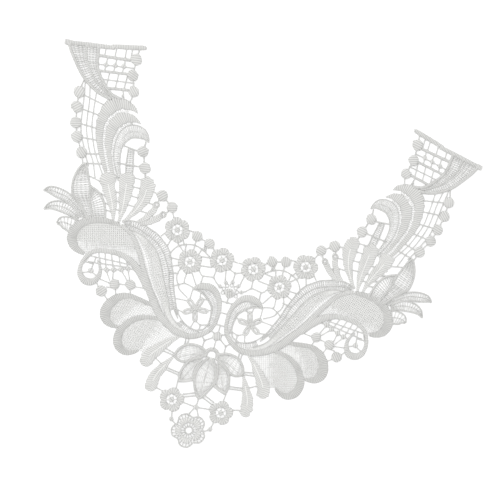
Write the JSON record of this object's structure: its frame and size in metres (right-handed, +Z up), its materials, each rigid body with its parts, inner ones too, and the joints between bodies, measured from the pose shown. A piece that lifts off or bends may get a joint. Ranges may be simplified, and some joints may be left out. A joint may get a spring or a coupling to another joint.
{
  "type": "lace collar",
  "caption": "Flat guipure lace collar with a V-shaped front, scrolled plumes and flowers, and two arms that end at the shoulders.",
  "frame": {"origin": "middle of the bounding box of the collar as it lies, on the underside that rests on the surface", "axes": "+Z up from the surface, +X across the collar from its left arm to its right arm as the picture shows them, +Y from the point of the V towards the ends of the arms"},
  "size_m": [0.3504, 0.299, 0.0025],
  "materials": {
    "satin_thread": "off-white thread in close satin stitch, soft sheen along the stitches",
    "net_thread": "off-white twisted thread in open bars and net, matt"
  },
  "bodies": {
    "root": {"balls_outer_left": "satin_thread", "balls_outer_right": "satin_thread", "bottom_flower": "satin_thread", "curl_left": "satin_thread", "curl_right": "satin_thread", "disc_flower": "satin_thread", "end_panel_left": "satin_thread", "end_panel_right": "satin_thread", "finger_a_left": "satin_thread", "finger_a_right": "satin_thread", "finger_b_left": "satin_thread", "finger_b_right": "satin_thread", "finger_c_left": "satin_thread", "finger_c_right": "satin_thread", "finger_low_inner_left": "satin_thread", "finger_low_inner_right": "satin_thread", "finger_low_outer_left": "satin_thread", "finger_low_outer_right": "satin_thread", "fingers_small_left": "satin_thread", "fingers_small_right": "satin_thread", "flower_loops_left": "net_thread", "flower_loops_right": "net_thread", "flower_low_left": "satin_thread", "flower_low_right": "satin_thread", "flower_middle_left": "satin_thread", "flower_middle_right": "satin_thread", "flower_neck_left": "satin_thread", "flower_neck_right": "satin_thread", "flower_net_left": "satin_thread", "flower_net_right": "satin_thread", "heart": "satin_thread", "ladder_left": "net_thread", "ladder_right": "net_thread", "leaf_double_left": "satin_thread", "leaf_double_right": "satin_thread", "leaves_edge_left": "satin_thread", "leaves_edge_right": "satin_thread", "lobe_low_left": "satin_thread", "lobe_low_right": "satin_thread", "lobe_middle_left": "satin_thread", "lobe_middle_right": "satin_thread", "lobe_top_left": "satin_thread", "lobe_top_right": "satin_thread", "lotus_low_left": "satin_thread", "lotus_low_right": "satin_thread", "lotus_middle": "satin_thread", "lotus_side_left": "satin_thread", "lotus_side_right": "satin_thread", "plume_inner_left": "satin_thread", "plume_inner_right": "satin_thread", "plume_middle_left": "satin_thread", "plume_middle_right": "satin_thread", "plume_outer_left": "satin_thread", "plume_outer_right": "satin_thread", "stem_left": "satin_thread", "stem_right": "satin_thread"}
  },
  "joints": []
}
